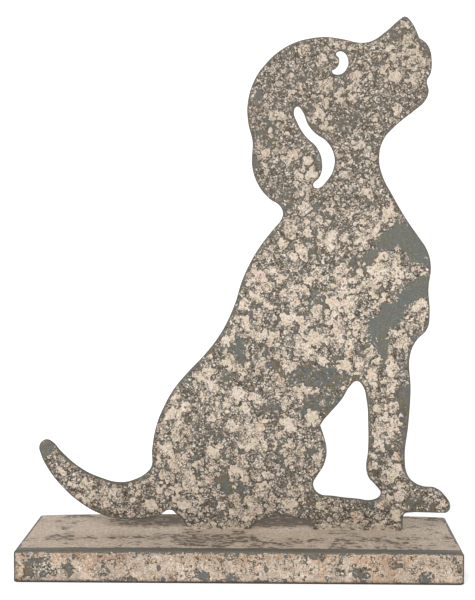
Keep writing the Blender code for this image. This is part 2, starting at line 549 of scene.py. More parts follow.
@dataclass(frozen=True)
class Sponging:
    """Paint sponged on in round dabs of random size.

    Attributes:
        seed: Which random dabs these are.
        per_square_metre: How many dabs are tried on each square metre.
        small: The radius of the smallest dab.
        large: The radius of the largest dab.
        ragged: How far a dab's edge strays from round.
        ring: How deep a dab's outline cuts into the dabs under it, 0 to 1.
        ragged_grain: The distance over which that straying changes.
        small_share: How much commoner small dabs are than large ones.
        slope: The share of a dab's radius over which it thins out to its edge.
        tinted: How thick a dab has to be to give its own tint.
        ring_start: Where a dab's outline starts, as a share of its radius.
        ring_full: Where it is deepest.
    """

    seed: int
    per_square_metre: float
    small: float
    large: float
    ragged: float = 0.9 * MM
    ring: float = 0.0
    ragged_grain: float = 1.6 * MM
    small_share: float = 1.6
    slope: float = 0.6
    tinted: float = 0.45
    ring_start: float = 0.65
    ring_full: float = 0.85

    def lay(self, mesh: Mesh, cover: np.ndarray) -> tuple[np.ndarray, np.ndarray]:
        """Lays the dabs on a mesh.

        Args:
            mesh: The mesh.
            cover: How likely a dab is to stay, 0 to 1, at each vertex.

        Returns:
            How thick the paint is, 0 to 1, and which tint it has, 0 to 1, at each vertex.
        """
        rng = np.random.default_rng(self.seed)
        places, normals, areas = vertex_rows(mesh), vertex_normals(mesh), vertex_areas(mesh)
        strays = [Mottle(self.seed + 1 + axis, self.ragged_grain).at(places) - 0.5 for axis in range(3)]
        strayed = places + 2 * self.ragged * np.array(strays).T
        tree = KDTree(len(places))
        for number, place in enumerate(strayed.tolist()):
            tree.insert(place, number)
        tree.balance()
        count = int(areas.sum() * self.per_square_metre)
        middles = rng.choice(len(places), size=count, p=areas / areas.sum())
        sizes = self.small * (self.large / self.small) ** (rng.random(count) ** self.small_share)
        tints, chances = rng.random(count), rng.random(count)
        thick, tint = np.zeros(len(places)), np.full(len(places), 0.5)
        for middle, size, shade, chance in zip(middles, sizes, tints, chances):
            if chance > cover[middle]:
                continue
            found = tree.find_range(Vector(places[middle]), size)
            if not found:
                continue
            near = np.array([number for _, number, _ in found], dtype=int)
            away = np.array([distance for _, _, distance in found])
            same_face = normals[near] @ normals[middle] > SAME_FACE
            near, away = near[same_face], away[same_face]
            height = smooth_step(1 - away / size, 0, self.slope)
            tint[near[height > self.tinted]] = shade
            outline = self.ring * smooth_step(away / size, self.ring_start, self.ring_full)
            thick[near] = np.maximum(thick[near] * (1 - outline), height)
        return thick, tint


class Graph:
    """A material's nodes, added by calls that read like the finish they make. Lengths are in millimetres."""

    def __init__(self, name: str) -> None:
        """Starts a material with nothing but its shader.

        Args:
            name: The material's name.
        """
        self.material: Material = bpy.data.materials.new(name)
        self.material.use_nodes = True
        self.tree = self.material.node_tree
        self.shader = self.tree.nodes["Principled BSDF"]
        scale = self.add("ShaderNodeVectorMath", operation="SCALE")
        self.feed(scale.inputs[0], self.add("ShaderNodeTexCoord").outputs["Object"])
        scale.inputs["Scale"].default_value = 1 / MM
        self.place = scale.outputs[0]

    def add(self, kind: str, **settings: object) -> Node:
        """Adds a node.

        Args:
            kind: Which node it is.
            **settings: Its settings.

        Returns:
            The node.
        """
        made = self.tree.nodes.new(kind)
        for name, value in settings.items():
            setattr(made, name, value)
        return made

    def feed(self, socket: NodeSocket, value: Socket) -> None:
        """Links a socket to another one, or gives it a value.

        Args:
            socket: The socket.
            value: The other socket, or the value.
        """
        if isinstance(value, NodeSocket):
            self.tree.links.new(value, socket)
        else:
            socket.default_value = value

    def set_shader(self, **values: float | Colour) -> None:
        """Sets constants on the shader's own sockets.

        Args:
            **values: The constant of each socket, under its name with low lines for blanks.
        """
        for name, value in values.items():
            self.shader.inputs[name.replace("_", " ")].default_value = value

    def stored(self, name: str) -> NodeSocket:
        """The number kept at the vertices under a name."""
        return self.add("ShaderNodeAttribute", attribute_name=name).outputs["Fac"]

    def shifted(self, shift: float, stretch: float = 1.0) -> NodeSocket:
        """The place on the piece, moved along.

        Args:
            shift: How far it is moved along every axis.
            stretch: How many times longer what is drawn there becomes along X.

        Returns:
            The moved place.
        """
        made = self.add("ShaderNodeVectorMath", operation="MULTIPLY_ADD")
        self.feed(made.inputs[0], self.place)
        made.inputs[1].default_value = (1 / stretch, 1, 1)
        made.inputs[2].default_value = (shift, shift, shift)
        return made.outputs[0]

    def noise(
        self,
        grain: float,
        detail: float = 2.0,
        roughness: float = 0.5,
        shift: float = 0.0,
        stretch: float = 1.0,
    ) -> NodeSocket:
        """Cloudy noise, 0 to 1.

        Args:
            grain: The size of its clouds.
            detail: How many finer layers it has.
            roughness: How strong each finer layer is.
            shift: Moves it along, so that two like noises differ.
            stretch: How many times longer its clouds are along X.

        Returns:
            The noise.
        """
        made = self.add("ShaderNodeTexNoise")
        self.feed(made.inputs["Vector"], self.shifted(shift, stretch))
        for name, value in (("Scale", 1 / grain), ("Detail", detail), ("Roughness", roughness)):
            made.inputs[name].default_value = value
        return made.outputs["Fac"]

    def grains(self, size: float, stray: float, shift: float = 0.0) -> tuple[NodeSocket, NodeSocket]:
        """Scattered ragged grains.

        Args:
            size: How far apart they lie.
            stray: How far their edges stray.
            shift: Moves them along.

        Returns:
            The distance from each one's middle as a share of size, and a random number for each.
        """
        wander = self.add("ShaderNodeTexNoise")
        self.feed(wander.inputs["Vector"], self.shifted(shift + 3))
        wander.inputs["Scale"].default_value = 1 / size
        moved = self.add("ShaderNodeVectorMath", operation="MULTIPLY_ADD")
        self.feed(moved.inputs[0], wander.outputs["Color"])
        moved.inputs[1].default_value = (4 * stray,) * 3
        self.feed(moved.inputs[2], self.shifted(shift))
        made = self.add("ShaderNodeTexVoronoi")
        self.feed(made.inputs["Vector"], moved.outputs[0])
        made.inputs["Scale"].default_value = 1 / size
        apart = self.add("ShaderNodeSeparateColor")
        self.feed(apart.inputs[0], made.outputs["Color"])
        return made.outputs["Distance"], apart.outputs[0]

    def math(self, operation: str, first: Socket, second: Socket = 0.0) -> NodeSocket:
        """Works out a sum.

        Args:
            operation: Which sum it is.
            first: Its first value.
            second: Its second value, where it has one.

        Returns:
            The sum's result.
        """
        made = self.add("ShaderNodeMath", operation=operation)
        self.feed(made.inputs[0], first)
        self.feed(made.inputs[1], second)
        return made.outputs[0]

    def sway(self, value: Socket, strength: float) -> NodeSocket:
        """A value about a half, turned into one about 0 and made stronger."""
        return self.math("MULTIPLY", self.math("SUBTRACT", value, 0.5), strength)

    def rise(
        self, value: Socket, low: float, high: float, start: float = 0.0, end: float = 1.0
    ) -> NodeSocket:
        """Turns a value into a smooth rise.

        Args:
            value: The value.
            low: Where the rise begins.
            high: Where it ends.
            start: The result at low.
            end: The result at high.

        Returns:
            The result, between start and end.
        """
        made = self.add("ShaderNodeMapRange", interpolation_type="SMOOTHSTEP")
        self.feed(made.inputs["Value"], value)
        numbers = (("From Min", low), ("From Max", high), ("To Min", start), ("To Max", end))
        for name, number in numbers:
            made.inputs[name].default_value = number
        return made.outputs["Result"]

    def product(self, *values: Socket) -> NodeSocket:
        """Multiplies values.

        Args:
            *values: The values.

        Returns:
            Their product.
        """
        result = values[0]
        for value in values[1:]:
            result = self.math("MULTIPLY", result, value)
        return result

    def over(self, share: Socket, under: Socket, top: Socket) -> NodeSocket:
        """Lays one colour over another.

        Args:
            share: How far the top one covers, 0 to 1.
            under: The lower colour.
            top: The upper colour.

        Returns:
            The mixed colour.
        """
        made = self.add("ShaderNodeMix", data_type="RGBA")
        self.feed(made.inputs[0], share)
        self.feed(made.inputs[6], under)
        self.feed(made.inputs[7], top)
        return made.outputs[2]

    def tones(self, value: Socket, *stops: tuple[float, Colour]) -> NodeSocket:
        """Turns a value into a colour.

        Args:
            value: The value, 0 to 1.
            *stops: The values at which the colour is known, each with its colour.

        Returns:
            The colour, blended between the stops.
        """
        made = self.add("ShaderNodeValToRGB")
        ramp = made.color_ramp
        while len(ramp.elements) < len(stops):
            ramp.elements.new(0.5)
        for element, (position, colour) in zip(ramp.elements, stops):
            element.position = position
            element.color = colour
        self.feed(made.inputs["Fac"], value)
        return made.outputs["Color"]


@dataclass(frozen=True)
class DistressedPaint:
    """Beige paint sponged over grey zinc: the whole finish of one piece.

    It reads five numbers at the vertices: paint (how thick), tint (which dab), speckle (how much fine spatter
    the bare metal holds), edge (millimetres to the nearest edge) and grime (how dark the soiling and
    the painted shade are).

    Attributes:
        name: The material's name.
        metal: The greys of the metal between the dabs, from brown to blue to olive.
        plain: The grey of the large bare patches.
        tarnish: The dark mottling of the metal.
        glint: The pale mottling of the metal.
        paint: The dabs' colours, from one tint to the other.
        spatter: The colours of the fine spatter, from dark to light.
        brown: The brown soiling round each dab and along the edges.
        cream: The paint's pale lips, where a dab ends.
        shade: The painted shade in the troughs of the paint's crinkles, which also mottles the round dabs.
        light: The painted highlight on the crests of the paint's crinkles and of the ripples.
        pit: The paint's dark pits.
        dirt_and_shadow: The colour of the smudge marks and ripples, and of the painted shadow behind the
            plate.
        edge_black: The nearly black line along the darkest edges: the plate's cut edge and the tray's seams
            and lower edge.
        crumble: How far the dabs' edges crumble.
        grain: The size of the crumbs, in millimetres.
        crinkle: How strong the painted shade and highlight of the soft crinkles in the paint are.
        edge_wear: How wide the bare metal along an edge is, in millimetres.
        scratches: How strong the dark scratches in the paint are.
        dab_spacing: How far apart the round dabs on the speckled metal are, in millimetres.
        spatter_size: The size of the fine spatter's grains, in millimetres.
        relief: How far the finest grain of the paint stands up, in metres.
    """

    name: str
    metal: tuple[Colour, ...] = (
        screen(110, 96, 81),
        screen(116, 109, 94),
        screen(94, 105, 103),
        screen(111, 103, 101),
        screen(102, 103, 80),
    )
    plain: Colour = screen(108, 110, 103)
    tarnish: Colour = screen(74, 70, 63)
    glint: Colour = screen(142, 138, 129)
    paint: tuple[Colour, ...] = (
        screen(211, 182, 171),
        screen(204, 194, 165),
        screen(209, 189, 172),
        screen(216, 204, 190),
        screen(205, 176, 147),
    )
    spatter: tuple[Colour, ...] = (
        screen(64, 56, 47),
        screen(90, 81, 70),
        screen(124, 113, 101),
        screen(172, 159, 144),
        screen(228, 219, 206),
    )
    brown: Colour = screen(78, 67, 54)
    cream: Colour = screen(238, 229, 217)
    shade: Colour = screen(150, 134, 118)
    light: Colour = screen(230, 221, 211)
    pit: Colour = screen(104, 90, 74)
    dirt_and_shadow: Colour = screen(88, 76, 62)
    edge_black: Colour = screen(46, 42, 43)
    crumble: float = 2.2
    grain: float = 2.6
    crinkle: float = 0.35
    edge_wear: float = 0.5
    scratches: float = 0.8
    dab_spacing: float = 3.3
    spatter_size: float = 0.72
    relief: float = 0.12 * MM

    def make(self) -> Material:
        """Builds the material.

        Returns:
            The material.
        """
        graph = Graph(self.name)
        crumble = graph.noise(self.grain, detail=6, roughness=0.68)
        fine = graph.noise(0.8, detail=2, roughness=0.6, shift=17)
        clouds = graph.noise(5.5, detail=2, shift=40)

        height = graph.math("ADD", graph.stored("paint"), graph.sway(crumble, self.crumble))
        wear = graph.rise(graph.noise(2.5, detail=2, shift=11), 0.35, 0.65, 0.4, 2.6)
        edge = graph.math("SUBTRACT", graph.stored("edge"), graph.product(wear, self.edge_wear))
        kept = graph.rise(edge, -0.3, 0.3)
        painted = graph.product(graph.rise(height, 0.40, 0.52), kept)
        lip = graph.product(graph.rise(height, 0.68, 0.50), graph.rise(fine, 0.46, 0.58, 0.0, 0.85))
        rim = graph.math("SUBTRACT", graph.rise(height, 0.05, 0.36), painted)
        rim = graph.product(rim, kept, graph.rise(fine, 0.38, 0.56, 0.2, 0.9))

        speckled = graph.product(self.speckle_share(graph), kept)
        colour = self.spattered(graph, self.bare_metal(graph, clouds, fine), speckled)
        colour = self.ringed(graph, colour, fine, speckled)
        colour = graph.over(rim, colour, self.brown)
        coat = graph.over(lip, self.coat(graph, clouds), self.cream)
        colour = graph.over(painted, colour, coat)
        colour = self.smudged(graph, colour, fine)

        graph.feed(graph.shader.inputs["Base Color"], colour)
        graph.feed(graph.shader.inputs["Roughness"], graph.rise(painted, 0, 1, 0.55, 0.85))
        graph.set_shader(Metallic=0.08, Specular_IOR_Level=0.3)
        bump = graph.add("ShaderNodeBump")
        bump.inputs["Distance"].default_value = self.relief
        bump.inputs["Strength"].default_value = 0.8
        graph.feed(bump.inputs["Height"], graph.math("ADD", painted, graph.product(fine, 0.5)))
        graph.feed(graph.shader.inputs["Normal"], bump.outputs["Normal"])
        return graph.material

    def bare_metal(self, graph: Graph, clouds: NodeSocket, fine: NodeSocket) -> NodeSocket:
        """Makes the grey metal, clouded and finely mottled.

        Args:
            graph: The material's nodes.
            clouds: Noise of a few millimetres.
            fine: Noise of less than one.

        Returns:
            The metal's colour.
        """
        stops = [(0.32 + 0.09 * number, colour) for number, colour in enumerate(self.metal)]
        broad = graph.sway(graph.noise(14, shift=200), 0.6)
        colour = graph.tones(graph.math("ADD", clouds, broad), *stops)
        colour = graph.over(graph.rise(graph.stored("paint"), -0.7, -1.2, 0.0, 0.45), colour, self.plain)
        colour = graph.over(graph.rise(fine, 0.35, 0.6, 0.45, 0.0), colour, self.tarnish)
        return graph.over(graph.rise(fine, 0.6, 0.72, 0.0, 0.35), colour, self.glint)

    def speckle_share(self, graph: Graph) -> NodeSocket:
        """How far the fine spatter hides the bare metal."""
        where = graph.math("ADD", graph.stored("speckle"), graph.sway(graph.noise(1.4, shift=60), 1.6))
        return graph.rise(where, 0.3, 0.6)

    def spattered(self, graph: Graph, metal: NodeSocket, share: NodeSocket) -> NodeSocket:
        """Lays the fine salt-and-pepper spatter on the metal.

        Args:
            graph: The material's nodes.
            metal: The metal's colour.
            share: How much spatter there is, 0 to 1.

        Returns:
            The spattered colour.
        """
        _, salt = graph.grains(self.spatter_size, 0.3, shift=71)
        patches = graph.sway(graph.noise(3.2, detail=2, shift=77), 0.9)
        dark, low, middle, light, white = self.spatter
        stops = (0.08, dark), (0.32, low), (0.58, middle), (0.78, light), (0.96, white)
        value = graph.math("ADD", salt, patches)
        hides = graph.rise(graph.math("ABSOLUTE", graph.math("SUBTRACT", value, 0.46)), 0.06, 0.2, 0.25, 0.95)
        return graph.over(graph.product(share, hides), metal, graph.tones(value, *stops))

    def ringed(
        self, graph: Graph, under: NodeSocket, fine: NodeSocket, share: NodeSocket
    ) -> NodeSocket:
        """Lays round dabs on the speckled metal, each with a dark ring and a pale inner edge.

        Args:
            graph: The material's nodes.
            under: The colour under them.
            fine: Noise of less than a millimetre, which roughens their edges.
            share: How far they cover, 0 to 1.

        Returns:
            The colour with the dabs.
        """
        away, pick = graph.grains(self.dab_spacing, 0.2, shift=140)
        radius = graph.rise(pick, 0.25, 1.0, 0.0, 0.55)
        reach = graph.math("SUBTRACT", radius, graph.math("ADD", away, graph.sway(fine, 0.4)))
        dab = graph.rise(reach, 0.0, 0.06)
        ring = graph.math("SUBTRACT", graph.rise(reach, -0.13, -0.04), dab)
        inner = graph.math("SUBTRACT", dab, graph.rise(reach, 0.06, 0.15))
        colour = graph.over(graph.product(ring, share, 0.75), under, self.brown)
        grain = graph.noise(1.0, detail=2, roughness=0.65, shift=145)
        body = graph.over(graph.rise(grain, 0.58, 0.38), self.paint[2], self.shade)
        colour = graph.over(graph.product(dab, share, 0.75), colour, body)
        return graph.over(graph.product(inner, share, 0.6), colour, self.cream)

    def coat(self, graph: Graph, clouds: NodeSocket) -> NodeSocket:
        """Makes the paint of the dabs: each in its own tint, crinkled with painted shade and highlight, with
        dark pits and scratches.

        Args:
            graph: The material's nodes.
            clouds: Noise of a few millimetres, which gathers the scratches.

        Returns:
            The paint's colour.
        """
        _, grain = graph.grains(1.2, 0.5, shift=31)
        tint = graph.math("ADD", graph.stored("tint"), graph.sway(grain, 0.35))
        steps = len(self.paint) - 1
        colour = graph.tones(tint, *[(number / steps, shade) for number, shade in enumerate(self.paint)])
        crinkle = graph.noise(1.25, detail=3, roughness=0.62, shift=150)
        # Painted shade in the crinkles' troughs and a painted highlight on their crests.
        colour = graph.over(graph.rise(crinkle, 0.50, 0.36, 0.0, self.crinkle), colour, self.shade)
        colour = graph.over(graph.rise(crinkle, 0.55, 0.62, 0.0, 1.3 * self.crinkle), colour, self.light)
        rough = graph.rise(graph.stored("speckle"), 0.12, 0.3)
        pits = graph.rise(graph.noise(0.9, detail=2, roughness=0.6, shift=53), 0.36, 0.41, 0.8, 0.0)
        colour = graph.over(graph.product(pits, rough), colour, self.pit)
        line = graph.math("ABSOLUTE", graph.math("SUBTRACT", graph.noise(2.0, detail=3, shift=90), 0.5))
        scratch = graph.rise(line, 0.02, 0.06, self.scratches, 0.0)
        gathered = graph.rise(clouds, 0.45, 0.56)
        return graph.over(graph.product(scratch, gathered, rough), colour, self.brown)

    def smudged(self, graph: Graph, clean: NodeSocket, fine: NodeSocket) -> NodeSocket:
        """Lays the soiling and the painted shade on the finish: a soft smudge, crisp ripples where it is
        smooth with a painted highlight on their crests, the painted shadow behind the plate, and a nearly
        black line along an edge.

        Args:
            graph: The material's nodes.
            clean: The colour without soiling, painted shade or painted highlight.
            fine: Noise of less than a millimetre.

        Returns:
            The finished colour.
        """
        dirt_and_shadow = graph.stored("grime")
        soft = graph.product(dirt_and_shadow, graph.rise(fine, 0.35, 0.65, 0.2, 0.75))
        ripple = graph.noise(2.4, detail=2, roughness=0.55, shift=170, stretch=1.6)
        spread = graph.math("ADD", ripple, graph.product(dirt_and_shadow, 0.34))
        smooth = graph.product(graph.rise(graph.stored("speckle"), 0.2, 0.12), graph.rise(dirt_and_shadow, 0.08, 0.2))
        smooth = graph.product(smooth, graph.rise(graph.stored("paint"), 0.0, 0.5))
        crisp = graph.product(graph.rise(spread, 0.65, 0.72), smooth, 0.85)
        # A painted highlight on the ripples' crests, beside their dark strokes.
        crest_highlight = graph.product(graph.rise(spread, 0.57, 0.63), smooth, 0.22)
        colour = graph.over(crest_highlight, clean, self.light)
        # The soiling colour, which also paints the shadow behind the plate.
        colour = graph.over(graph.math("MAXIMUM", soft, crisp), colour, self.dirt_and_shadow)
        # Nearly black along the darkest edges.
        return graph.over(graph.rise(dirt_and_shadow, 0.86, 1.0, 0.0, 0.95), colour, self.edge_black)


SPONGED_ZINC = DistressedPaint("sponged_zinc_plate")
LIMEWASH = DistressedPaint(
    "limewashed_tray_paint",
    paint=(
        screen(200, 175, 160),
        screen(193, 175, 155),
        screen(198, 178, 159),
        screen(188, 167, 146),
        screen(186, 153, 126),
    ),
    crumble=2.0,
    crinkle=0.5,
    edge_wear=0.35,
    scratches=1.0,
)


@dataclass(frozen=True)
class PlateZones:
    """How far each vertex of the plate lies in each zone of its paint, 0 to 1.

    Attributes:
        bare: The patches with no paint.
        sparse: The same patches with a wider soft edge.
        thin: The patches with few dabs.
        flakes: The patches of whole paint.
        worn_edge: The worn band along the cut edges.
        foot: The tray's paint that runs up the feet.
        ankle: The strip above it.
        near_feet: The lowest part of the puppy.
        low: Its lower half.
        head: Its upper half, most of all the head.
    """

    bare: np.ndarray
    sparse: np.ndarray
    thin: np.ndarray
    flakes: np.ndarray
    worn_edge: np.ndarray
    foot: np.ndarray
    ankle: np.ndarray
    near_feet: np.ndarray
    low: np.ndarray
    head: np.ndarray


@dataclass
class PuppyPlate:
    """The flat plate, cut to the puppy's outline, with its worn edges and its sponged paint.

    Attributes:
        node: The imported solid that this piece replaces.
        front_spacing: The mesh's spacing on the face that the photograph shows, and along the cut edges.
        back_spacing: The mesh's spacing on the other face.
        edge_radius: How far the cut edges are rounded.
        edge_steps: The faces round each rounded edge.
        sharp_turn: The turn, in degrees, from which a vertex of the outline is a corner.
        paint_thickness: How proud the thickest paint stands.
        foot_paint: How high the tray's paint runs up the feet.
        ankle_height: How high the strip above the feet with fewer dabs is.
        edge_band: How wide the band along the cut edges is in which dabs are few.
        wander: How far the borders of the patches stray.
        back_shift: How far off the random fields are read for the back, so that it differs from the front.
        large_dabs: The large dabs of paint.
        small_dabs: The small dabs of paint.
        bare: Patches with no paint.
        thin: Patches with few dabs.
        flakes: Patches of whole paint.
        foot_lumps: Where the plate's own paint hangs down over the tray's: each one's place along X, its half
            width and how far it hangs, in millimetres.
        loops: The outline's smooth loops, set when the piece is built.
    """

    node: str = "puppy_plate"
    front_spacing: float = 0.84 * MM
    back_spacing: float = 1.15 * MM
    edge_radius: float = 0.35 * MM
    edge_steps: int = 2
    sharp_turn: float = 40.0
    paint_thickness: float = 0.16 * MM
    foot_paint: float = 4.8 * MM
    ankle_height: float = 11 * MM
    edge_band: float = 2.6 * MM
    wander: float = 5 * MM
    back_shift: float = 0.3
    large_dabs: Sponging = Sponging(21, 60_000, 1.6 * MM, 5.2 * MM, 1.8 * MM, 0.35)
    small_dabs: Sponging = Sponging(26, 75_000, 0.9 * MM, 2.4 * MM, 0.8 * MM, 0.7)
    bare: tuple[Spot, ...] = (
        Spot(0.0955, 0.1805, 0.0150, 0.0088, -49),
        Spot(0.084, 0.1820, 0.0115, 0.0062, 18),
        Spot(0.073, 0.1730, 0.0050, 0.0035, 40),
        Spot(0.0985, 0.1540, 0.0125, 0.0066, 28),
        Spot(0.0825, 0.1385, 0.0190, 0.0070, 47),
        Spot(0.080, 0.1215, 0.0045, 0.0065, 0),
        Spot(-0.110, 0.064, 0.0065, 0.0055, 60),
    )
    thin: tuple[Spot, ...] = (
        Spot(0.044, 0.1045, 0.027, 0.0085, -6),
        Spot(0.044, 0.0890, 0.017, 0.0070, 15),
        Spot(0.093, 0.0440, 0.016, 0.0085, -20),
        Spot(0.072, 0.0310, 0.016, 0.0060, 0),
        Spot(0.099, 0.0345, 0.015, 0.0055, -12),
        Spot(-0.014, 0.0330, 0.013, 0.0060, 10),
        Spot(0.022, 0.0410, 0.008, 0.0070, 0),
        Spot(-0.079, 0.030, 0.009, 0.0045, -25),
        Spot(0.000, 0.124, 0.004, 0.0110, 0),
        Spot(0.047, 0.147, 0.005, 0.0070, 0),
        Spot(-0.003, 0.043, 0.016, 0.0070, -10),
        Spot(0.0925, 0.085, 0.0040, 0.035, 0),
        Spot(0.074, 0.069, 0.0040, 0.0060, 0),
        Spot(0.020, 0.268, 0.013, 0.0110, 25),
        Spot(0.018, 0.257, 0.011, 0.0045, 5),
        Spot(0.010, 0.237, 0.009, 0.0070, 0),
        Spot(0.033, 0.236, 0.006, 0.0100, 20),
    )
    flakes: tuple[Spot, ...] = (
        Spot(0.021, 0.250, 0.011, 0.0045, -14),
        Spot(0.086, 0.1640, 0.0140, 0.0085, 50),
        Spot(0.070, 0.1840, 0.0105, 0.0075, 40),
        Spot(0.090, 0.1275, 0.0060, 0.0125, 10),
        Spot(0.0745, 0.1190, 0.0035, 0.0065, -40),
        Spot(0.102, 0.1475, 0.0042, 0.0045, 0),
        Spot(0.097, 0.2810, 0.0190, 0.0105, -65),
        Spot(0.060, 0.2640, 0.0110, 0.0070, 30),
        Spot(0.045, 0.2470, 0.0110, 0.0060, -50),
        Spot(0.032, 0.2930, 0.0110, 0.0045, -15),
    )
    foot_lumps: tuple[tuple[float, float, float], ...] = (
        (-26.5, 2.5, 1.5),
        (-15.9, 1.2, 2.5),
        (-11.7, 2.3, 5.2),
        (3.7, 3.2, 4.6),
        (37.3, 2.0, 2.0),
        (42.3, 1.8, 2.8),
        (55.7, 2.2, 2.6),
        (70.8, 3.5, 3.0),
        (80.9, 2.5, 2.6),
        (88.7, 2.2, 5.2),
    )
    loops: list[np.ndarray] = field(init=False, default_factory=list)

    def build(self) -> Object:
        """Builds the piece and dresses it.

        Returns:
            The plate.
        """
        low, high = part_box(self.node)
        self.loops = [self.smooth_loop(loop) for loop in outline_loops(self.node, Plane.UPRIGHT, low.y)]
        sheet = SheetMesh(Plane.UPRIGHT, (high.x - low.x + 8 * MM, 0))
        rims = [
            sheet.add_cut_edge(loop, low.y, high.y, self.edge_radius, self.edge_steps) for loop in self.loops
        ]
        sheet.fill([rim[0] for rim in rims], self.front_spacing, Side.NEAR)
        sheet.fill([rim[-1] for rim in rims], self.back_spacing, Side.FAR)
        piece = sheet.finish("puppy_plate_painted")
        self.paint(piece.data)
        piece.data.materials.append(SPONGED_ZINC.make())
        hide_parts(self.node)
        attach(piece, "root")
        return piece

    def smooth_loop(self, loop: np.ndarray) -> np.ndarray:
        """Draws a loop again as a smooth curve through its vertices.

        Args:
            loop: The loop's points.

        Returns:
            Points at even spacing between the loop's corners, which stay.
        """
        ahead = turned_on(loop) - loop
        behind = np.roll(ahead, 1, axis=0)
        across = behind[:, 0] * ahead[:, 1] - behind[:, 1] * ahead[:, 0]
        turn = np.degrees(np.arctan2(across, (behind * ahead).sum(axis=1)))
        corners = np.flatnonzero(np.abs(turn) > self.sharp_turn)
        if len(corners) == 0:
            closed = self.curve_through(np.vstack([loop, loop[:1]]), closed=True)
            return divide(closed, self.front_spacing)
        loop = np.roll(loop, -corners[0], axis=0)
        marks = list(corners - corners[0]) + [len(loop)]
        loop = np.vstack([loop, loop[:1]])
        parts = [self.curve_through(loop[a : b + 1], closed=False) for a, b in itertools.pairwise(marks)]
        return np.vstack([divide(part, self.front_spacing) for part in parts])

    @staticmethod
    def curve_through(points: np.ndarray, closed: bool, steps: int = 6) -> np.ndarray:
        """Follows the smooth curve that passes through some points.

        Args:
            points: The points.
            closed: Whether the last one is the first one again.
            steps: How many points are wanted for each one given.

        Returns:
            The points along the curve.
        """
        if closed:
            padded = np.vstack([points[-2], points, points[1]])
        else:
            padded = np.vstack([2 * points[0] - points[1], points, 2 * points[-1] - points[-2]])
        before, start, end, after = padded[:-3], padded[1:-2], padded[2:-1], padded[3:]
        gap_in, gap, gap_out = (
            np.linalg.norm(b - a, axis=1)[:, None] for a, b in ((before, start), (start, end), (end, after))
        )
        lean_in = ((start - before) / gap_in * gap + (end - start) / gap * gap_in) / (gap_in + gap)
        lean_out = ((end - start) / gap * gap_out + (after - end) / gap_out * gap) / (gap + gap_out)
        rows = [
            (2 * t**3 - 3 * t**2 + 1) * start
            + (t**3 - 2 * t**2 + t) * gap * lean_in
            + (3 * t**2 - 2 * t**3) * end
            + (t**3 - t**2) * gap * lean_out
            for t in np.arange(steps) / steps
        ]
        return np.vstack([np.stack(rows, axis=1).reshape(-1, 2), points[-1:]])

    def edge_distance(self, places: np.ndarray) -> np.ndarray:
        """Measures how far places on the plate are from its cut edge.

        Args:
            places: The places, as rows.

        Returns:
            The distance for each place.
        """
        shares = (0, 0.25, 0.5, 0.75)
        marks = [loop + (turned_on(loop) - loop) * share for loop in self.loops for share in shares]
        return nearest(np.vstack(marks), places[:, (0, 2)])

    def zones(self, places: np.ndarray, spread: np.ndarray, edge: np.ndarray) -> PlateZones:
        """Works out which zones of the paint places on the plate lie in.

        Args:
            places: The places, as rows.
            spread: Where the random fields are read for each.
            edge: How far each is from the cut edge.

        Returns:
            The zones.
        """
        tray_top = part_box("base_tray")[1].z
        x = places[:, 0] + self.wander * (Mottle(3, 4 * MM).at(spread) - 0.5)
        z = places[:, 2] + self.wander * (Mottle(4, 4 * MM).at(spread) - 0.5)
        depth = deepest(self.bare, x, z)
        foot_line = tray_top + self.foot_paint + 2.5 * MM * (Mottle(9, 2.5 * MM).at(spread) - 0.5)
        for middle, half_width, hang in self.foot_lumps:
            foot_line -= hang * MM * np.exp(-(((places[:, 0] / MM - middle) / half_width) ** 2))
        ankle = smooth_step(tray_top + self.ankle_height - places[:, 2], -4 * MM, 4 * MM)
        height = (places[:, 2] - tray_top) / (CAD_BOX[1].z - tray_top)
        worn_band = self.edge_band * (0.4 + 1.8 * Mottle(11, 9 * MM).at(spread))
        return PlateZones(
            bare=smooth_step(depth, -0.1, 0.3),
            sparse=smooth_step(depth, -0.1, 0.5),
            thin=smooth_step(deepest(self.thin, x, z), 0.0, 0.5),
            flakes=smooth_step(deepest(self.flakes, x, z), 0.0, 0.5),
            worn_edge=smooth_step(worn_band - edge, 0, 1.5 * MM),
            foot=smooth_step(foot_line - places[:, 2], -0.4 * MM, 0.4 * MM),
            ankle=ankle * (0.20 + 0.25 * smooth_step(x, 0.02, 0.06)),
            near_feet=smooth_step(height, 0.16, 0.06),
            low=smooth_step(height, 0.55, 0.15),
            head=smooth_step(height, 0.50, 0.82),
        )

    def sponge(self, mesh: Mesh, spread: np.ndarray, zones: PlateZones) -> tuple[np.ndarray, np.ndarray]:
        """Lays the dabs on the plate, and the tray's paint on its feet.

        Args:
            mesh: The plate's mesh.
            spread: Where the random fields are read for each vertex.
            zones: The zones that the vertices lie in.

        Returns:
            How thick the paint is, and which tint it has, at each vertex.
        """
        broad = 0.65 * Mottle(5, 6.5 * MM).at(spread) + 0.35 * Mottle(6, 3.2 * MM).at(spread)
        cover = 0.79 - 0.53 * zones.head - zones.ankle + 0.19 * zones.low
        cover += (5.0 - 2.5 * zones.head) * (broad - 0.5)
        cover = np.clip(cover, 0.05, 1) * (1 - zones.bare)
        cover *= 1 - 0.92 * np.maximum(zones.thin, zones.worn_edge)
        cover = np.clip(cover + 0.9 * zones.flakes, 0, 1)
        large, large_tint = self.large_dabs.lay(mesh, cover * (1 - 0.5 * zones.head))
        small, small_tint = self.small_dabs.lay(mesh, 0.7 * cover)
        thick = np.maximum(np.maximum(large, small), 0.5 * zones.flakes) * (1 - 0.8 * zones.worn_edge)
        tint = np.where(small > large, small_tint, large_tint)
        thick = (0.10 + 0.75 * thick) * (1 - zones.bare) - 0.2 * zones.bare - 1.4 * zones.sparse
        on_foot = zones.foot > 0.5
        return np.where(on_foot, 0.9, thick), np.where(on_foot, 0.3 + 0.15 * tint, tint)

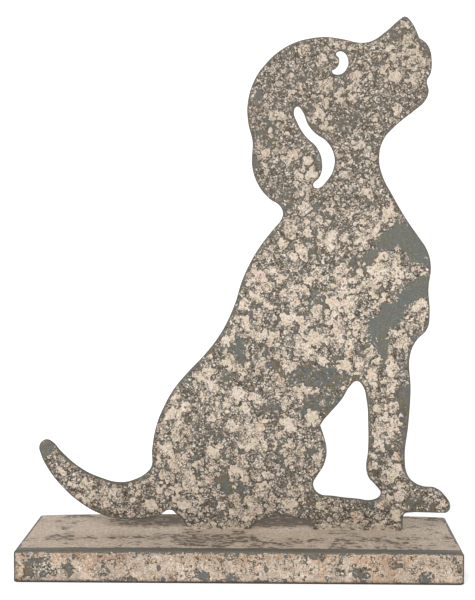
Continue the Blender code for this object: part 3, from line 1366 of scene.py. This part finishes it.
    def paint(self, mesh: Mesh) -> None:
        """Lays the paint on the plate: its numbers for the material, and its thickness as relief.

        Args:
            mesh: The plate's mesh.
        """
        places, normals = vertex_rows(mesh), vertex_normals(mesh)
        edge = self.edge_distance(places)
        spread = places + np.where(normals[:, 1:2] > 0, self.back_shift, 0.0)
        zones = self.zones(places, spread, edge)
        thick, tint = self.sponge(mesh, spread, zones)

        grit = 0.5 * Mottle(7, 8 * MM).at(spread) + 0.5 * Mottle(8, 3.5 * MM).at(spread)
        speckle = 0.66 + 0.1 * zones.head + 0.35 * zones.near_feet - 0.4 * zones.thin * (1 - zones.head)
        speckle = np.clip(speckle + 2.0 * (grit - 0.5), 0.2, 1) * (1 - zones.sparse) - 0.12 * zones.sparse
        grime = np.maximum(0.93 * smooth_step(0.8 * MM - edge, 0, 0.6 * MM), 0.36 * zones.head)
        grime = np.maximum(grime, 0.5 * zones.foot)
        edge_mm = np.minimum(edge / MM, EDGE_REACH)
        store(mesh, paint=thick, tint=tint, speckle=speckle, edge=edge_mm, grime=grime)

        proud = self.paint_thickness * np.clip(thick, 0, 1) * smooth_step(edge, 0.5 * MM, 1.8 * MM)
        on_face = np.abs(normals[:, 1]) > 0.9
        places[:, 1] += np.sign(normals[:, 1]) * proud * on_face
        move_vertices(mesh, places)


@dataclass
class BaseTray:
    """The shallow tray, folded from one sheet, with its slots, its seams and its streaked paint.

    Attributes:
        node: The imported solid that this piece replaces.
        sheet: The thickness of the sheet.
        fold_radius: The radius of the fold on its outer side.
        seam_radius: The radius of the upright seams at the corners.
        inside_seam_radius: The radius of those seams inside.
        flap_corner_radius: How far each flap's lower corners are rounded off.
        rim_radius: How far the flaps' lower edge is rounded.
        slot_radius: How far the slots' edges are rounded.
        spacing: The mesh's spacing outside.
        hidden_spacing: The mesh's spacing on the underside.
        seam_steps: The faces round each upright seam.
        fold_steps: The faces round the fold.
        front_band: How deep the worn band behind the front fold is.
        other_band: How deep the worn bands along the other folds are.
        bow: How far the top bows up in the middle of its back edge.
        front_bow: The share of that bow which the front edge has.
        flap_band: How far the worn band along a fold reaches down the flap.
        paint_thickness: How proud the thickest paint stands.
        dabs: The dabs of paint.
        bare: Patches with no paint on the front flap.
        half: Half the tray's length and half its depth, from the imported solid.
        height: How high the tray is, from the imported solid.
    """

    node: str = "base_tray"
    sheet: float = 1.2 * MM
    fold_radius: float = 1.7 * MM
    seam_radius: float = 0.9 * MM
    inside_seam_radius: float = 0.15 * MM
    flap_corner_radius: float = 2.0 * MM
    rim_radius: float = 0.25 * MM
    slot_radius: float = 0.15 * MM
    spacing: float = 0.95 * MM
    hidden_spacing: float = 2.0 * MM
    seam_steps: int = 4
    fold_steps: int = 5
    front_band: float = 6.0 * MM
    other_band: float = 2.0 * MM
    bow: float = 1.65 * MM
    front_bow: float = 0.28
    flap_band: float = 1.3 * MM
    paint_thickness: float = 0.12 * MM
    dabs: Sponging = Sponging(41, 120_000, 1.4 * MM, 4.2 * MM)
    bare: tuple[Spot, ...] = (
        Spot(-0.1075, 0.0082, 0.0085, 0.0062),
        Spot(-0.091, 0.0065, 0.0028, 0.0045),
        Spot(-0.072, 0.0062, 0.0035, 0.0024),
        Spot(-0.020, 0.0045, 0.0060, 0.0038),
        Spot(-0.005, 0.0150, 0.0040, 0.0030),
        Spot(0.054, 0.0065, 0.0032, 0.0026),
        Spot(0.0655, 0.0055, 0.0060, 0.0040),
        Spot(0.100, 0.0045, 0.0045, 0.0028),
    )
    half: np.ndarray = field(init=False)
    height: float = field(init=False)

    def __post_init__(self) -> None:
        """Reads the tray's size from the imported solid."""
        low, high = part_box(self.node)
        self.half = np.array([high.x - low.x, high.y - low.y]) / 2
        self.height = high.z

    def build(self) -> Object:
        """Builds the piece and dresses it.

        Returns:
            The tray.
        """
        sheet = SheetMesh(Plane.LEVEL, (0, 2 * (self.half[1] + self.height) + 8 * MM))
        rings = self.add_rings(sheet)
        walls = [
            sheet.add_cut_edge(slot, self.height, self.height - self.sheet, self.slot_radius, 1)
            for slot in self.slots()
        ]
        sheet.fill([rings[0]] + [wall[0] for wall in walls], self.spacing, Side.NEAR)
        sheet.fill([rings[-1]] + [wall[-1] for wall in walls], self.hidden_spacing, Side.FAR)
        piece = sheet.finish("base_tray_painted")
        self.paint(piece.data)
        self.bend(piece.data)
        piece.data.materials.append(LIMEWASH.make())
        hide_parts(self.node)
        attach(piece, "root")
        return piece

    def slots(self) -> list[np.ndarray]:
        """Finds the slots that the plate's tabs sit in.

        Returns:
            The loop round each slot, evenly divided.
        """
        loops = outline_loops(self.node, Plane.LEVEL, self.height)
        holes = [loop for loop in loops if signed_area(loop) < 0]
        return [
            np.vstack([divide(np.array(pair), self.spacing) for pair in zip(hole, turned_on(hole))])
            for hole in holes
        ]

    def plan_ring(self, inset: float) -> np.ndarray:
        """Goes once round the tray's plan, inset from its edge, with as many points at every inset.

        Args:
            inset: How far inside the tray's edge.

        Returns:
            The ring's points.
        """
        radius = max(self.seam_radius - inset, self.inside_seam_radius)
        centre = self.half - inset - radius
        arcs = []
        for quarter, signs in enumerate(((1, 1), (-1, 1), (-1, -1), (1, -1))):
            turns = math.pi / 2 * (quarter + np.arange(self.seam_steps + 1) / self.seam_steps)
            arcs.append(centre * signs + radius * np.column_stack([np.cos(turns), np.sin(turns)]))
        ring = []
        for number, arc in enumerate(arcs):
            after = arcs[(number + 1) % 4][0]
            long_side = self.half[number % 2] * 2
            count = round(long_side / self.spacing)
            ring += [arc[:-1], arc[-1] + (after - arc[-1]) * (np.arange(count) / count)[:, None]]
        return np.vstack(ring)

    def lift(self, ring: np.ndarray) -> np.ndarray:
        """Rounds the flaps' lower corners.

        Args:
            ring: Places on the tray's plan.

        Returns:
            How far the lower edge rises at each place.
        """
        from_end = (self.half - np.abs(ring)).max(axis=1)
        short = np.clip(self.flap_corner_radius - from_end, 0, None)
        return self.flap_corner_radius - np.sqrt(self.flap_corner_radius**2 - short**2)

    def profile(self) -> list[tuple[float, float, float, Side]]:
        """The rings' section, from the top's edge down the outside, round the lower edge and up the inside.

        Returns:
            For each ring its inset, its height, how much of the lower edge's lift it takes, and its side.
        """
        centre = self.height - self.fold_radius
        inner_radius = self.fold_radius - self.sheet
        turns = [math.pi / 2 * (1 - step / self.fold_steps) for step in range(self.fold_steps + 1)]
        rows = []
        for turn in turns:
            inset = self.fold_radius * (1 - math.cos(turn))
            rows.append((inset, centre + self.fold_radius * math.sin(turn), 0.0, Side.NEAR))
        count = round(centre / self.spacing / 1.1)
        rows += [
            (0.0, self.rim_radius + (centre - self.rim_radius) * (1 - n / count), n / count, Side.NEAR)
            for n in range(1, count + 1)
        ]
        soft = self.rim_radius * (1 - math.sqrt(0.5))
        rows += [
            (soft, soft, 1.0, Side.NEAR),
            (self.rim_radius, 0.0, 1.0, Side.NEAR),
            (self.sheet - self.rim_radius, 0.0, 1.0, Side.NEAR),
            (self.sheet - soft, soft, 1.0, Side.FAR),
        ]
        count = round(centre / self.hidden_spacing)
        rows += [
            (self.sheet, self.rim_radius + (centre - self.rim_radius) * n / count, 1 - n / count, Side.FAR)
            for n in range(count + 1)
        ]
        for turn in turns[-2::-1]:
            inset = self.fold_radius - inner_radius * math.cos(turn)
            rows.append((inset, centre + inner_radius * math.sin(turn), 0.0, Side.FAR))
        return rows

    def add_rings(self, sheet: SheetMesh) -> list[list[int]]:
        """Adds the fold, the flaps and their lower edge.

        Args:
            sheet: The mesh that they are added to.

        Returns:
            Rings of vertices from the top's edge down the outside and up to the underside's edge.
        """
        lift = self.lift(self.plan_ring(0))
        rows = self.profile()
        plans = [self.plan_ring(inset) for inset, _, _, _ in rows]
        rings = [
            sheet.add_points(plan, height + share * lift)
            for plan, (_, height, share, _) in zip(plans, rows)
        ]
        steps = [math.hypot(b[0] - a[0], b[1] - a[1]) for a, b in itertools.pairwise(rows)]
        run = np.concatenate([[0], np.cumsum(steps)])
        middle_turns = self.outward_turns()
        for level, (near_row, far_row) in enumerate(itertools.pairwise(rows)):
            side = far_row[3]
            away = run if side is Side.NEAR else run[-1] - run
            for i in range(len(lift)):
                j = (i + 1) % len(lift)
                out = middle_turns[i]
                corners = ((level, i), (level + 1, i), (level + 1, j), (level, j))
                flat = np.array([self.unfolded(plans[row][k], away[row], out) for row, k in corners])
                sheet.add_face(tuple(rings[row][k] for row, k in corners), flat, side)
        return rings

    def outward_turns(self) -> list[int]:
        """Tells which flap each of a ring's faces belongs to.

        Returns:
            The flap's direction for each face, in quarter turns from +X.
        """
        sides = []
        for number in range(4):
            half_arc = self.seam_steps // 2
            count = round(self.half[number % 2] * 2 / self.spacing)
            sides += [number] * half_arc + [(number + 1) % 4] * (self.seam_steps - half_arc + count)
        return sides

    def unfolded(self, place: np.ndarray, away: float, quarter: int) -> np.ndarray:
        """Lays a flap out flat beside the top, for the bake map.

        Args:
            place: A place on the flap, on the tray's plan.
            away: How far it is down the flap, along the sheet.
            quarter: The flap's direction, in quarter turns from +X.

        Returns:
            Where it comes on the bake map.
        """
        across = quarter % 2
        sign = 1 if quarter < 2 else -1
        flat = place.copy()
        flat[across] = sign * (self.half[across] - self.fold_radius + away)
        return flat

    def smudges_and_shadow(self, places: np.ndarray) -> np.ndarray:
        """Works out the brown smudge marks on the top, streaks all over and more of them before the feet,
        darker towards the back edge at the ends and on the right, with the painted shadow behind the plate
        over them.

        Args:
            places: The places, as rows.

        Returns:
            How dark they are at each place, 0 to 1.
        """
        cloud = 0.5 * Mottle(45, 14 * MM).at(places) + 0.5 * Mottle(46, 5 * MM).at(places)
        x, y = places[:, 0], places[:, 1]
        by_feet = np.exp(-(((y + 0.024) / 0.015) ** 2) - ((x + 0.010) / 0.055) ** 2)
        rear = smooth_step(y, 0.020, 0.044)
        ends = smooth_step(np.abs(x - 0.01), 0.05, 0.10)
        right = smooth_step(x, 0.05, 0.10)
        thicker = 0.38 * by_feet + 0.14 * rear * ends + 0.07 * right
        # The top is darkest in the painted shadow behind the plate.
        return np.maximum(0.62 * smooth_step(cloud + thicker, 0.40, 0.84), 0.84 * self.painted_shadow_strip(places))

    def painted_shadow_strip(self, places: np.ndarray) -> np.ndarray:
        """Finds the painted shadow, with some soiling, on a strip of the top's rear half behind the plate.

        Args:
            places: The places, as rows.

        Returns:
            How far each place lies in it, 0 to 1.
        """
        x, y = places[:, 0], places[:, 1]
        stray = 9 * MM * (Mottle(47, 12 * MM).at(places) - 0.5)
        return smooth_step(y + stray, 0.001, 0.020) * (1 - smooth_step(np.abs(x - 0.004), 0.062, 0.090))

    def rise_at(self, x: np.ndarray, y: np.ndarray) -> np.ndarray:
        """Works out how far the top is bowed up.

        Args:
            x: Where each place is along the tray.
            y: Where it is from front to back.

        Returns:
            The rise at each place.
        """
        along = np.sqrt(np.clip(1 - (x / self.half[0]) ** 2, 0, 1))
        back = np.clip((y / self.half[1] + 1) / 2, 0, 1)
        return self.bow * along * (self.front_bow + (1 - self.front_bow) * back)

    def bend(self, mesh: Mesh) -> None:
        """Bows the top up a little, as a thin sheet does, with the flaps' lower edge left where it stands.

        Args:
            mesh: The tray's mesh.
        """
        places = vertex_rows(mesh)
        places[:, 2] *= 1 + self.rise_at(places[:, 0], places[:, 1]) / self.height
        move_vertices(mesh, places)

    def bare_share(self, places: np.ndarray, on_top: np.ndarray, wander: np.ndarray) -> np.ndarray:
        """Finds the bare metal: the worn bands along the folds, the front's patches and small worn spots.

        Args:
            places: The places, as rows.
            on_top: Whether each is on the tray's top.
            wander: How far the bands' borders stray there, about 0.

        Returns:
            How bare each place is, 0 to 1.
        """
        inset = self.half - np.abs(places[:, :2])
        band = np.where(places[:, 1] < 0, self.front_band, self.other_band)
        from_fold = np.minimum(inset[:, 0] - self.other_band, inset[:, 1] - band) - 2.5 * MM * wander
        top_band = smooth_step(from_fold, 0.6 * MM, -0.6 * MM)
        flap_band = smooth_step(self.below_band(places, wander), 0.5 * MM, -0.5 * MM)
        bands = np.where(on_top, top_band, flap_band)

        ragged = Mottle(34, 2.2 * MM).at(places) - 0.5
        x = places[:, 0] + 4 * MM * wander + 4 * MM * ragged
        front = places[:, 1] < -self.half[1] + self.sheet
        patches = smooth_step(deepest(self.bare, x, places[:, 2] + 3 * MM * ragged), -0.2, 0.6) * front
        worn = 0.55 * Mottle(38, 7 * MM).at(places) + 0.45 * Mottle(39, 2.5 * MM).at(places)
        worn += 0.10 * smooth_step(4 * MM - places[:, 2], 0, 4 * MM)
        return np.maximum.reduce([bands, patches, smooth_step(worn, 0.64, 0.82) * ~on_top])

    def below_band(self, places: np.ndarray, wander: np.ndarray) -> np.ndarray:
        """How far each place is below the worn band at the top of the flaps."""
        return self.height - places[:, 2] - self.flap_band - 1.2 * MM * wander

    def paint(self, mesh: Mesh) -> None:
        """Lays the paint on the tray: its numbers for the material, and its thickness as relief.

        Args:
            mesh: The tray's mesh.
        """
        places, normals = vertex_rows(mesh), vertex_normals(mesh)
        on_top = places[:, 2] > self.height - 0.6 * self.fold_radius
        wander = Mottle(33, 7 * MM).at(places) - 0.5
        bare = self.bare_share(places, on_top, wander)

        broad = 0.6 * Mottle(35, 12 * MM).at(places) + 0.4 * Mottle(36, 5 * MM).at(places)
        cover = np.clip(0.95 + 1.2 * (broad - 0.5), 0.1, 1) * (1 - bare)
        thick, tint = self.dabs.lay(mesh, cover)
        thick = np.where(on_top, 1.0, np.maximum(thick, 0.66)) * (1 - bare) - 0.4 * bare
        ochre = 0.9 * smooth_step(0.5 * self.below_band(places, wander) / MM, 3.2, 0.6)
        ochre += 1.6 * (Mottle(40, 9 * MM).at(places) - 0.5)
        # The painted shadow behind the plate; its border fades through the ochre and brown tints.
        strip = self.painted_shadow_strip(places)
        top_tint = np.maximum(0.1 + 0.5 * tint, 4.0 * strip * (1 - strip))
        tint = np.where(on_top, top_tint, np.where(ochre > 0.55, 0.8 + 0.2 * tint, 0.75 * tint))

        seam = (self.half - np.abs(places[:, :2])).max(axis=1)
        lower = places[:, 2] - self.lift(places[:, :2])
        edge = np.minimum(seam, np.where(on_top, 9, lower))
        grit = Mottle(37, 4 * MM).at(places)
        speckle = np.where(on_top, 0.1 * (1 - bare), np.clip(0.48 + 1.5 * (grit - 0.5), 0.2, 1))
        dirty = 0.6 * Mottle(42, 10 * MM).at(places) + 0.4 * Mottle(43, 4 * MM).at(places)
        # Soiling on the top, and the painted shadow behind the plate.
        top_dirt_and_shadow = np.maximum(0.45 * bare, self.smudges_and_shadow(places) * (1 - bare))
        grime = np.maximum.reduce([
            smooth_step(0.9 * MM - seam, 0, 0.4 * MM),
            # Darkest along the flaps' lower edge.
            smooth_step(2.0 * MM - lower, 0, 0.9 * MM),
            np.where(on_top, top_dirt_and_shadow, 0.48 * smooth_step(dirty, 0.35, 0.6)),
        ])
        edge_mm = np.clip(edge / MM, 0, EDGE_REACH)
        store(mesh, paint=thick, tint=tint, speckle=speckle, edge=edge_mm, grime=grime)

        proud = self.paint_thickness * thick * smooth_step(edge, 0.4 * MM, 1.5 * MM)
        flat = np.abs(normals).max(axis=1) > 0.97
        move_vertices(mesh, places + normals * (proud * flat)[:, None])


@dataclass
class FootWeld:
    """A bead of weld and thick paint round one foot, where the plate meets the tray.

    Attributes:
        name: The piece's name.
        start: The foot's end towards the tail.
        end: The foot's end towards the nose.
        lumps: Where the bead is thickest.
        seed: Which random thickness this is.
        radius: The bead's usual radius.
        lump_height: How much thicker it is at a lump.
        lump_width: How far along the bead a lump reaches.
        flatness: Its width as a share of its height.
        spacing: The mesh's spacing along the bead.
        sides: The faces round the bead.
    """

    name: str
    start: float
    end: float
    lumps: tuple[float, ...]
    seed: int
    radius: float = 0.8 * MM
    lump_height: float = 0.7 * MM
    lump_width: float = 1.3 * MM
    flatness: float = 0.8
    spacing: float = 0.5 * MM
    sides: int = 12

    def build(self, tray: BaseTray, finish: Material) -> Object:
        """Builds the bead and dresses it.

        Args:
            tray: The tray that it lies on.
            finish: The tray's paint.

        Returns:
            The bead.
        """
        path, outward = self.path()
        sizes = self.sizes(path, tray.height)
        level = tray.height + tray.rise_at(path[:, 0], path[:, 1])
        rows = []
        for turn in np.arange(self.sides) / self.sides * 2 * math.pi:
            ring = path + outward * (sizes * math.cos(turn) * self.flatness)[:, None]
            rows.append(np.column_stack([ring, level + sizes * math.sin(turn)]))
        points = np.stack(rows, axis=1).reshape(-1, 3)
        faces = []
        for i, k in itertools.product(range(len(path)), range(self.sides)):
            here, after = i * self.sides, (i + 1) % len(path) * self.sides
            m = (k + 1) % self.sides
            faces.append((here + k, after + k, after + m, here + m))
        mesh = bpy.data.meshes.new(self.name)
        mesh.from_pydata(points.tolist(), [], faces)
        mesh.shade_smooth()
        piece = placed(self.name, mesh)
        self.paint(mesh, points)
        mesh.materials.append(finish)
        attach(piece, "root")
        return piece

    def path(self) -> tuple[np.ndarray, np.ndarray]:
        """Goes once round the foot.

        Returns:
            The path's points, and the direction away from the foot at each.
        """
        low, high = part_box("puppy_plate")
        corners = np.array([
            (self.start, low.y), (self.end, low.y), (self.end, high.y), (self.start, high.y)
        ])
        sides = zip(corners, turned_on(corners))
        path = np.vstack([divide(np.array(pair), self.spacing) for pair in sides])
        ahead = turned_on(path) - np.roll(path, 1, axis=0)
        ahead /= np.linalg.norm(ahead, axis=1)[:, None]
        return path, np.column_stack([ahead[:, 1], -ahead[:, 0]])

    def sizes(self, path: np.ndarray, top: float) -> np.ndarray:
        """Works out how thick the bead is along its path.

        Args:
            path: The path's points.
            top: The height of the tray's top.

        Returns:
            The bead's radius at each point.
        """
        at_top = np.column_stack([path, np.full(len(path), top)])
        sizes = self.radius * (0.7 + 0.9 * Mottle(self.seed, 2.2 * MM).at(at_top))
        for lump in self.lumps:
            sizes += self.lump_height * np.exp(-(((path[:, 0] - lump) / self.lump_width) ** 2))
        return sizes

    def paint(self, mesh: Mesh, points: np.ndarray) -> None:
        """Keeps the paint's numbers for the material: whole paint on the bead, worn through at its lumps.

        Args:
            mesh: The bead's mesh.
            points: Its vertices, as rows.
        """
        grit = Mottle(self.seed + 1, 2.5 * MM).at(points)
        grit_fine = Mottle(self.seed + 2, 1.2 * MM).at(points)
        from_lump = np.min([((points[:, 0] - lump) / (2.2 * MM)) ** 2 for lump in self.lumps], axis=0)
        worn = smooth_step(np.exp(-from_lump) + 0.5 * (grit - 0.5), 0.35, 0.65)
        store(
            mesh,
            paint=0.9 - 0.75 * worn,
            tint=0.2 + 0.4 * grit_fine,
            speckle=worn,
            edge=np.full(len(points), EDGE_REACH),
            grime=0.3 + 0.25 * worn,
        )


@dataclass
class Studio:
    """The plain white sweep, the soft light and the camera at the photograph's viewing angle.

    Attributes:
        half_width: How far the sweep reaches to either side.
        near_end: Where the sweep starts, behind the camera.
        far_end: Where its upright part stands.
        top: How high it goes.
        bend: The radius of its bend.
        camera_place: Where the camera stands.
        camera_down: How far the camera looks down, in degrees.
        camera_left: How far the camera looks to the left, in degrees.
        lens: The camera's focal length in millimetres.
        paper: How pale the sweep is.
        paper_glow: How far it glows, so that it comes out white.
        sky_light: How strong the light from all round is.
        key_place: Where the soft light stands.
        key_size: How wide it is.
        key_power: How strong it is, in watts.
        aim: What it looks at.
    """

    half_width: float = 3.0
    near_end: float = -3.0
    far_end: float = 2.5
    top: float = 3.0
    bend: float = 1.0
    camera_place: tuple[float, float, float] = (0.0209, -0.8327, 0.2037)
    camera_down: float = 3.79
    camera_left: float = 1.54
    lens: float = 90.06
    paper: float = 0.93
    paper_glow: float = 0.37
    sky_light: float = 0.62
    key_place: tuple[float, float, float] = (-0.5, -1.9, 1.25)
    key_size: float = 0.9
    key_power: float = 24.0
    aim: tuple[float, float, float] = (0, 0, 0.12)

    def build(self) -> None:
        """Sets up the sweep, the lights and the camera."""
        scene = bpy.context.scene
        scene.view_settings.view_transform = "Standard"
        self.add_sweep()
        world = bpy.data.worlds.new("studio")
        scene.world = world
        world.use_nodes = True
        background = world.node_tree.nodes["Background"]
        background.inputs["Color"].default_value = (1, 1, 1, 1)
        background.inputs["Strength"].default_value = self.sky_light
        self.add_light()
        camera_data = bpy.data.cameras.new("camera")
        camera_data.lens = self.lens
        camera = bpy.data.objects.new("camera", camera_data)
        camera.location = self.camera_place
        camera.rotation_euler = (math.radians(90 - self.camera_down), 0, math.radians(self.camera_left))
        scene.collection.objects.link(camera)
        scene.camera = camera

    def add_light(self) -> None:
        """Adds the soft square light."""
        data = bpy.data.lights.new("key", "AREA")
        data.size = self.key_size
        data.energy = self.key_power
        light = bpy.data.objects.new("key", data)
        light.location = self.key_place
        towards = Vector(self.aim) - Vector(self.key_place)
        light.rotation_euler = towards.to_track_quat("-Z", "Y").to_euler()
        bpy.context.scene.collection.objects.link(light)

    def add_sweep(self) -> None:
        """Adds the floor that curves up into the backdrop."""
        steps = 16
        foot = self.far_end - self.bend
        profile = [(self.near_end, 0.0)]
        for turn in (math.pi / 2 * step / steps for step in range(steps + 1)):
            profile.append((foot + self.bend * math.sin(turn), self.bend * (1 - math.cos(turn))))
        profile.append((self.far_end, self.top))
        points = [(x, y, z) for y, z in profile for x in (-self.half_width, self.half_width)]
        faces = [(2 * n, 2 * n + 1, 2 * n + 3, 2 * n + 2) for n in range(len(profile) - 1)]
        mesh = bpy.data.meshes.new("studio_sweep")
        mesh.from_pydata(points, [], faces)
        mesh.shade_smooth()
        graph = Graph("white_paper")
        graph.set_shader(
            Base_Color=(self.paper, self.paper, self.paper, 1),
            Roughness=0.9,
            Specular_IOR_Level=0.1,
            Emission_Color=(1, 1, 1, 1),
            Emission_Strength=self.paper_glow,
        )
        mesh.materials.append(graph.material)
        placed("studio_sweep", mesh)


def main() -> None:
    """Builds the scene, piece by piece."""
    logging.basicConfig(level=logging.INFO, format="%(message)s")
    Studio().build()
    tray_maker = BaseTray()
    tray = tray_maker.build()
    plate = PuppyPlate().build()
    welds = [
        FootWeld("foot_weld_hind", -0.0305, 0.005, (-0.0117, 0.0037), 51),
        FootWeld("foot_weld_front", 0.042, 0.0917, (0.0423, 0.0708, 0.0890), 61),
    ]
    pieces = [tray, plate] + [weld.build(tray_maker, tray.data.materials[0]) for weld in welds]
    for piece in pieces:
        LOG.info("%s: %d faces", piece.name, len(piece.data.polygons))


if __name__ == "__main__":
    main()
